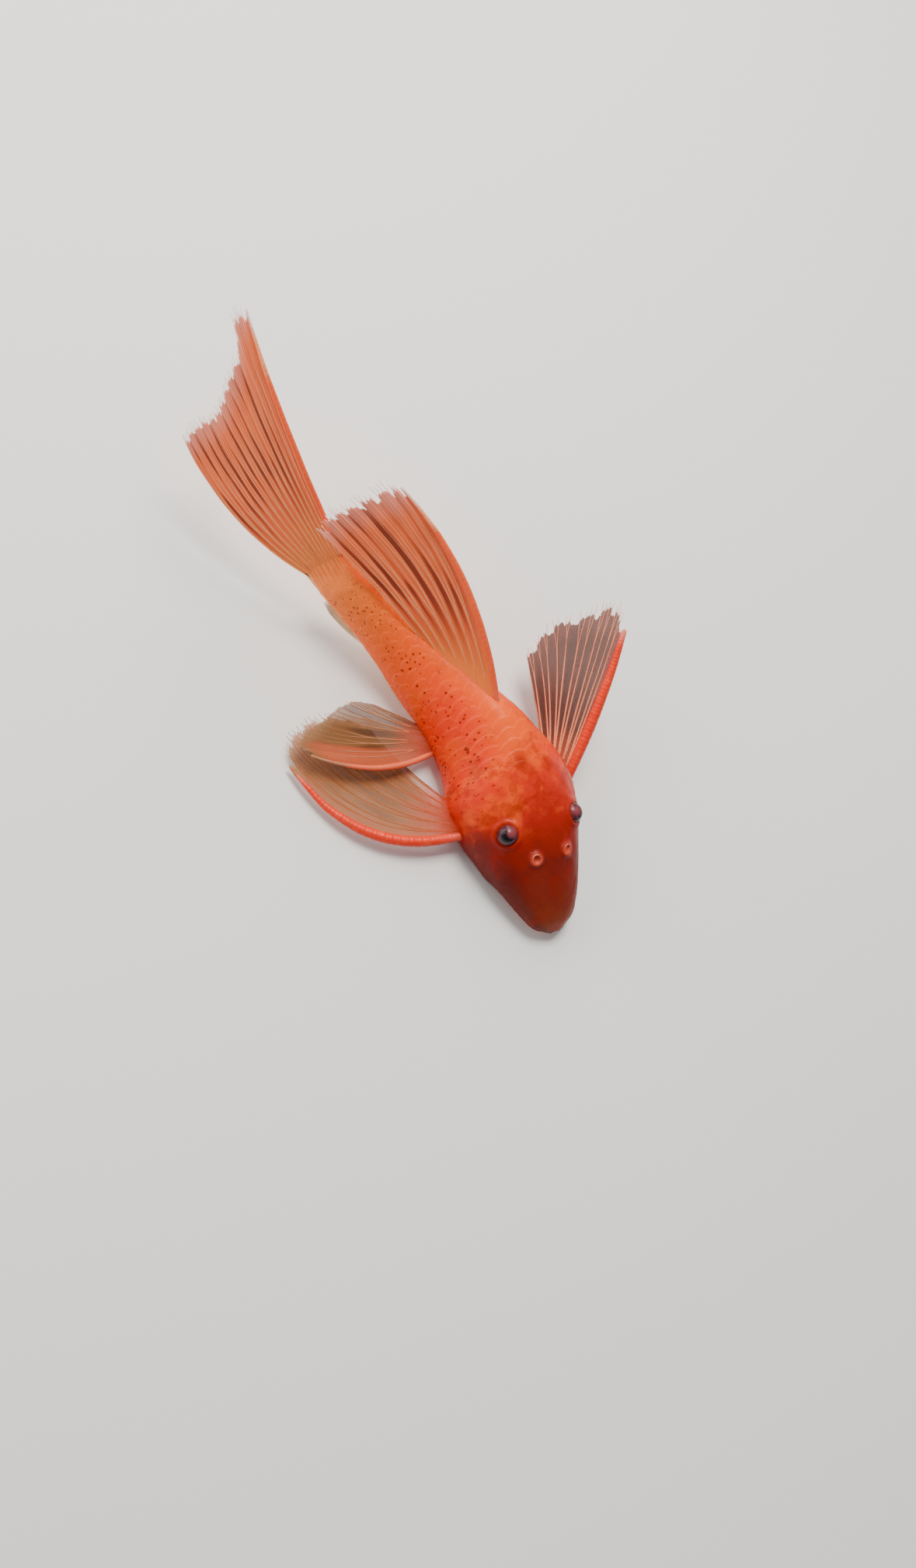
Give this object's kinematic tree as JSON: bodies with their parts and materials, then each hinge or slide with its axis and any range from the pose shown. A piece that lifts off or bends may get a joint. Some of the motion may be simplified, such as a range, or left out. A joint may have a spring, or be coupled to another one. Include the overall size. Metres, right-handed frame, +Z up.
{
  "type": "bristlenose pleco",
  "caption": "Still, life-size bristlenose pleco, red-orange form, resting on its belly with its tail swung to its right and raised.",
  "frame": {"origin": "on the floor under the breast, midway between the pectoral fins' roots, on the flat of the belly", "axes": "+Z up, -Y towards the snout along the straight head, +X to the fish's left"},
  "size_m": [0.059, 0.096, 0.0343],
  "materials": {
    "skin": "moist, bony plates, red-orange with darker head",
    "fins": "thin translucent membrane with paler rays",
    "mouth": "soft moist lips",
    "eyes": "wet, dark, glossy"
  },
  "bodies": {
    "root": {"head": "skin", "trunk": "skin", "tail_stalk": "skin", "mouth_disc": "mouth", "eye_left": "eyes", "eye_right": "eyes", "dorsal_fin": "fins", "adipose_fin": "fins", "caudal_fin": "fins", "anal_fin": "fins", "pectoral_fin_right": "fins", "pectoral_fin_left": "fins", "pelvic_fin_right": "fins", "pelvic_fin_left": "fins"}
  },
  "joints": []
}
